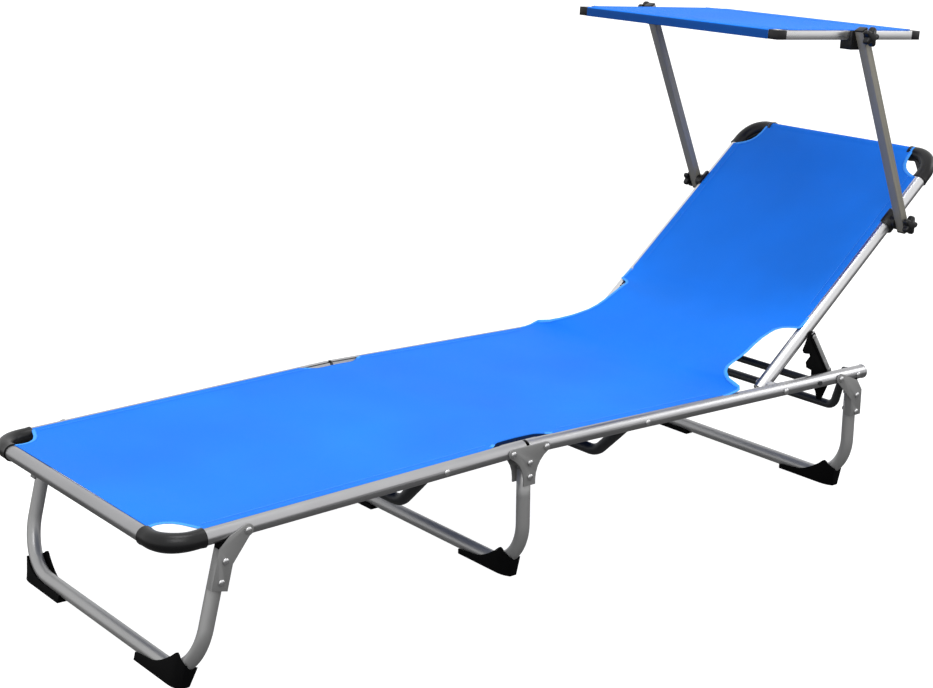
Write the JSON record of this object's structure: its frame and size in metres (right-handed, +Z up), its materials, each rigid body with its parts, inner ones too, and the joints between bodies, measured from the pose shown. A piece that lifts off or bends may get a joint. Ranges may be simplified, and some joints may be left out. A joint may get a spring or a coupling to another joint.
{
  "type": "sun lounger",
  "caption": "Folding sun lounger with three bent tube legs, cloth slings, a backrest held by toothed plates and an adjustable sunroof.",
  "frame": {"origin": "middle of the footprint's bounding box, on the floor", "axes": "+X towards the head end, +Y across the bed, +Z up"},
  "size_m": [1.7286, 0.5946, 0.8753],
  "materials": {
    "bright_aluminium": "satin",
    "grey_steel": "satin",
    "dark_steel": "satin",
    "black_plastic": "satin",
    "blue_cloth": "woven"
  },
  "bodies": {
    "seat_frame": {"seat_rail_near": "bright_aluminium", "seat_rail_far": "bright_aluminium", "seat_brace": "dark_steel", "rear_bail": "dark_steel", "ratchet_bar": "dark_steel", "seat_sling": "blue_cloth"},
    "middle_leg_set": {"middle_leg": "grey_steel", "middle_bracket_near": "grey_steel", "middle_bracket_far": "grey_steel", "middle_shoe_near": "black_plastic", "middle_shoe_far": "black_plastic"},
    "foot_section": {"foot_rail_near": "bright_aluminium", "foot_rail_far": "bright_aluminium", "foot_elbow_near": "black_plastic", "foot_elbow_far": "black_plastic", "foot_bar": "bright_aluminium", "foot_brace": "dark_steel", "foot_sling": "blue_cloth"},
    "front_leg_set": {"front_leg": "grey_steel", "front_shoe_near": "black_plastic", "front_shoe_far": "black_plastic", "front_bracket_near": "grey_steel", "front_bracket_far": "grey_steel", "front_stop_near": "black_plastic", "front_stop_far": "black_plastic"},
    "rear_leg_set": {"rear_leg": "grey_steel", "rear_shoe_near": "black_plastic", "rear_shoe_far": "black_plastic", "rear_bracket_near": "grey_steel", "rear_bracket_far": "grey_steel", "rear_stop_near": "black_plastic", "rear_stop_far": "black_plastic"},
    "backrest": {"back_rail_near": "bright_aluminium", "back_rail_far": "bright_aluminium", "back_elbow_near": "black_plastic", "back_elbow_far": "black_plastic", "back_top_bar": "bright_aluminium", "back_sling": "blue_cloth", "arm_clamp_near": "black_plastic", "arm_clamp_far": "black_plastic"},
    "ratchet_plate_near": {"ratchet_near": "black_plastic"},
    "ratchet_plate_far": {"ratchet_far": "black_plastic"},
    "sunroof_arms": {"arm_near": "grey_steel", "arm_far": "grey_steel"},
    "sunroof": {"roof_side_near": "bright_aluminium", "roof_side_far": "bright_aluminium", "roof_foot_bar": "bright_aluminium", "roof_head_bar": "bright_aluminium", "roof_corner_foot_near": "black_plastic", "roof_corner_foot_far": "black_plastic", "roof_corner_head_near": "black_plastic", "roof_corner_head_far": "black_plastic", "roof_cover": "blue_cloth", "roof_clamp_near": "black_plastic", "roof_clamp_far": "black_plastic"},
    "knob_lower_near": {"lower_knob_near": "black_plastic"},
    "knob_lower_far": {"lower_knob_far": "black_plastic"},
    "knob_upper_near": {"upper_knob_near": "black_plastic"},
    "knob_upper_far": {"upper_knob_far": "black_plastic"}
  },
  "joints": [
    {"name": "middle_leg_fold", "type": "hinge", "parent": "seat_frame", "child": "middle_leg_set", "pos_m": [-0.16646, 0, 0.24673], "axis": [0, -1, 0], "range_deg": [-90, 0]},
    {"name": "foot_section_fold", "type": "hinge", "parent": "middle_leg_set", "child": "foot_section", "pos_m": [-0.23546, 0, 0.24673], "axis": [0, -1, 0], "range_deg": [-90, 0]},
    {"name": "front_leg_fold", "type": "hinge", "parent": "foot_section", "child": "front_leg_set", "pos_m": [-0.72535, 0, 0.2367], "axis": [0, 1, 0], "range_deg": [-100, 0]},
    {"name": "rear_leg_fold", "type": "hinge", "parent": "seat_frame", "child": "rear_leg_set", "pos_m": [0.54732, 0, 0.22934], "axis": [0, -1, 0], "range_deg": [-90, 0]},
    {"name": "backrest_recline", "type": "hinge", "parent": "seat_frame", "child": "backrest", "pos_m": [0.40136, 0, 0.23289], "axis": [0, -1, 0], "range_deg": [-27, 75]},
    {"name": "ratchet_swing_near", "type": "hinge", "parent": "backrest", "child": "ratchet_plate_near", "pos_m": [0.50735, 0, 0.31024], "axis": [0, 1, 0], "range_deg": [-8, 10]},
    {"name": "ratchet_swing_far", "type": "hinge", "parent": "backrest", "child": "ratchet_plate_far", "pos_m": [0.50735, 0, 0.31024], "axis": [0, 1, 0], "range_deg": [-8, 10]},
    {"name": "sunroof_arm_swing", "type": "hinge", "parent": "backrest", "child": "sunroof_arms", "pos_m": [0.72127, 0, 0.49566], "axis": [0, 1, 0], "range_deg": [-30, 75]},
    {"name": "sunroof_tilt", "type": "hinge", "parent": "sunroof_arms", "child": "sunroof", "pos_m": [0.57337, 0, 0.85274], "axis": [0, 1, 0], "range_deg": [-45, 45]},
    {"name": "lower_knob_turn_near", "type": "hinge", "parent": "sunroof_arms", "child": "knob_lower_near", "pos_m": [0.72127, 0, 0.49566], "axis": [0, 1, 0], "continuous": true},
    {"name": "lower_knob_turn_far", "type": "hinge", "parent": "sunroof_arms", "child": "knob_lower_far", "pos_m": [0.72127, 0, 0.49566], "axis": [0, 1, 0], "continuous": true},
    {"name": "upper_knob_turn_near", "type": "hinge", "parent": "sunroof_arms", "child": "knob_upper_near", "pos_m": [0.57337, 0, 0.85274], "axis": [0, 1, 0], "continuous": true},
    {"name": "upper_knob_turn_far", "type": "hinge", "parent": "sunroof_arms", "child": "knob_upper_far", "pos_m": [0.57337, 0, 0.85274], "axis": [0, 1, 0], "continuous": true}
  ],
  "couplings": [
    {"joint": "foot_section_fold", "follows": "middle_leg_fold", "ratio": 1}
  ]
}
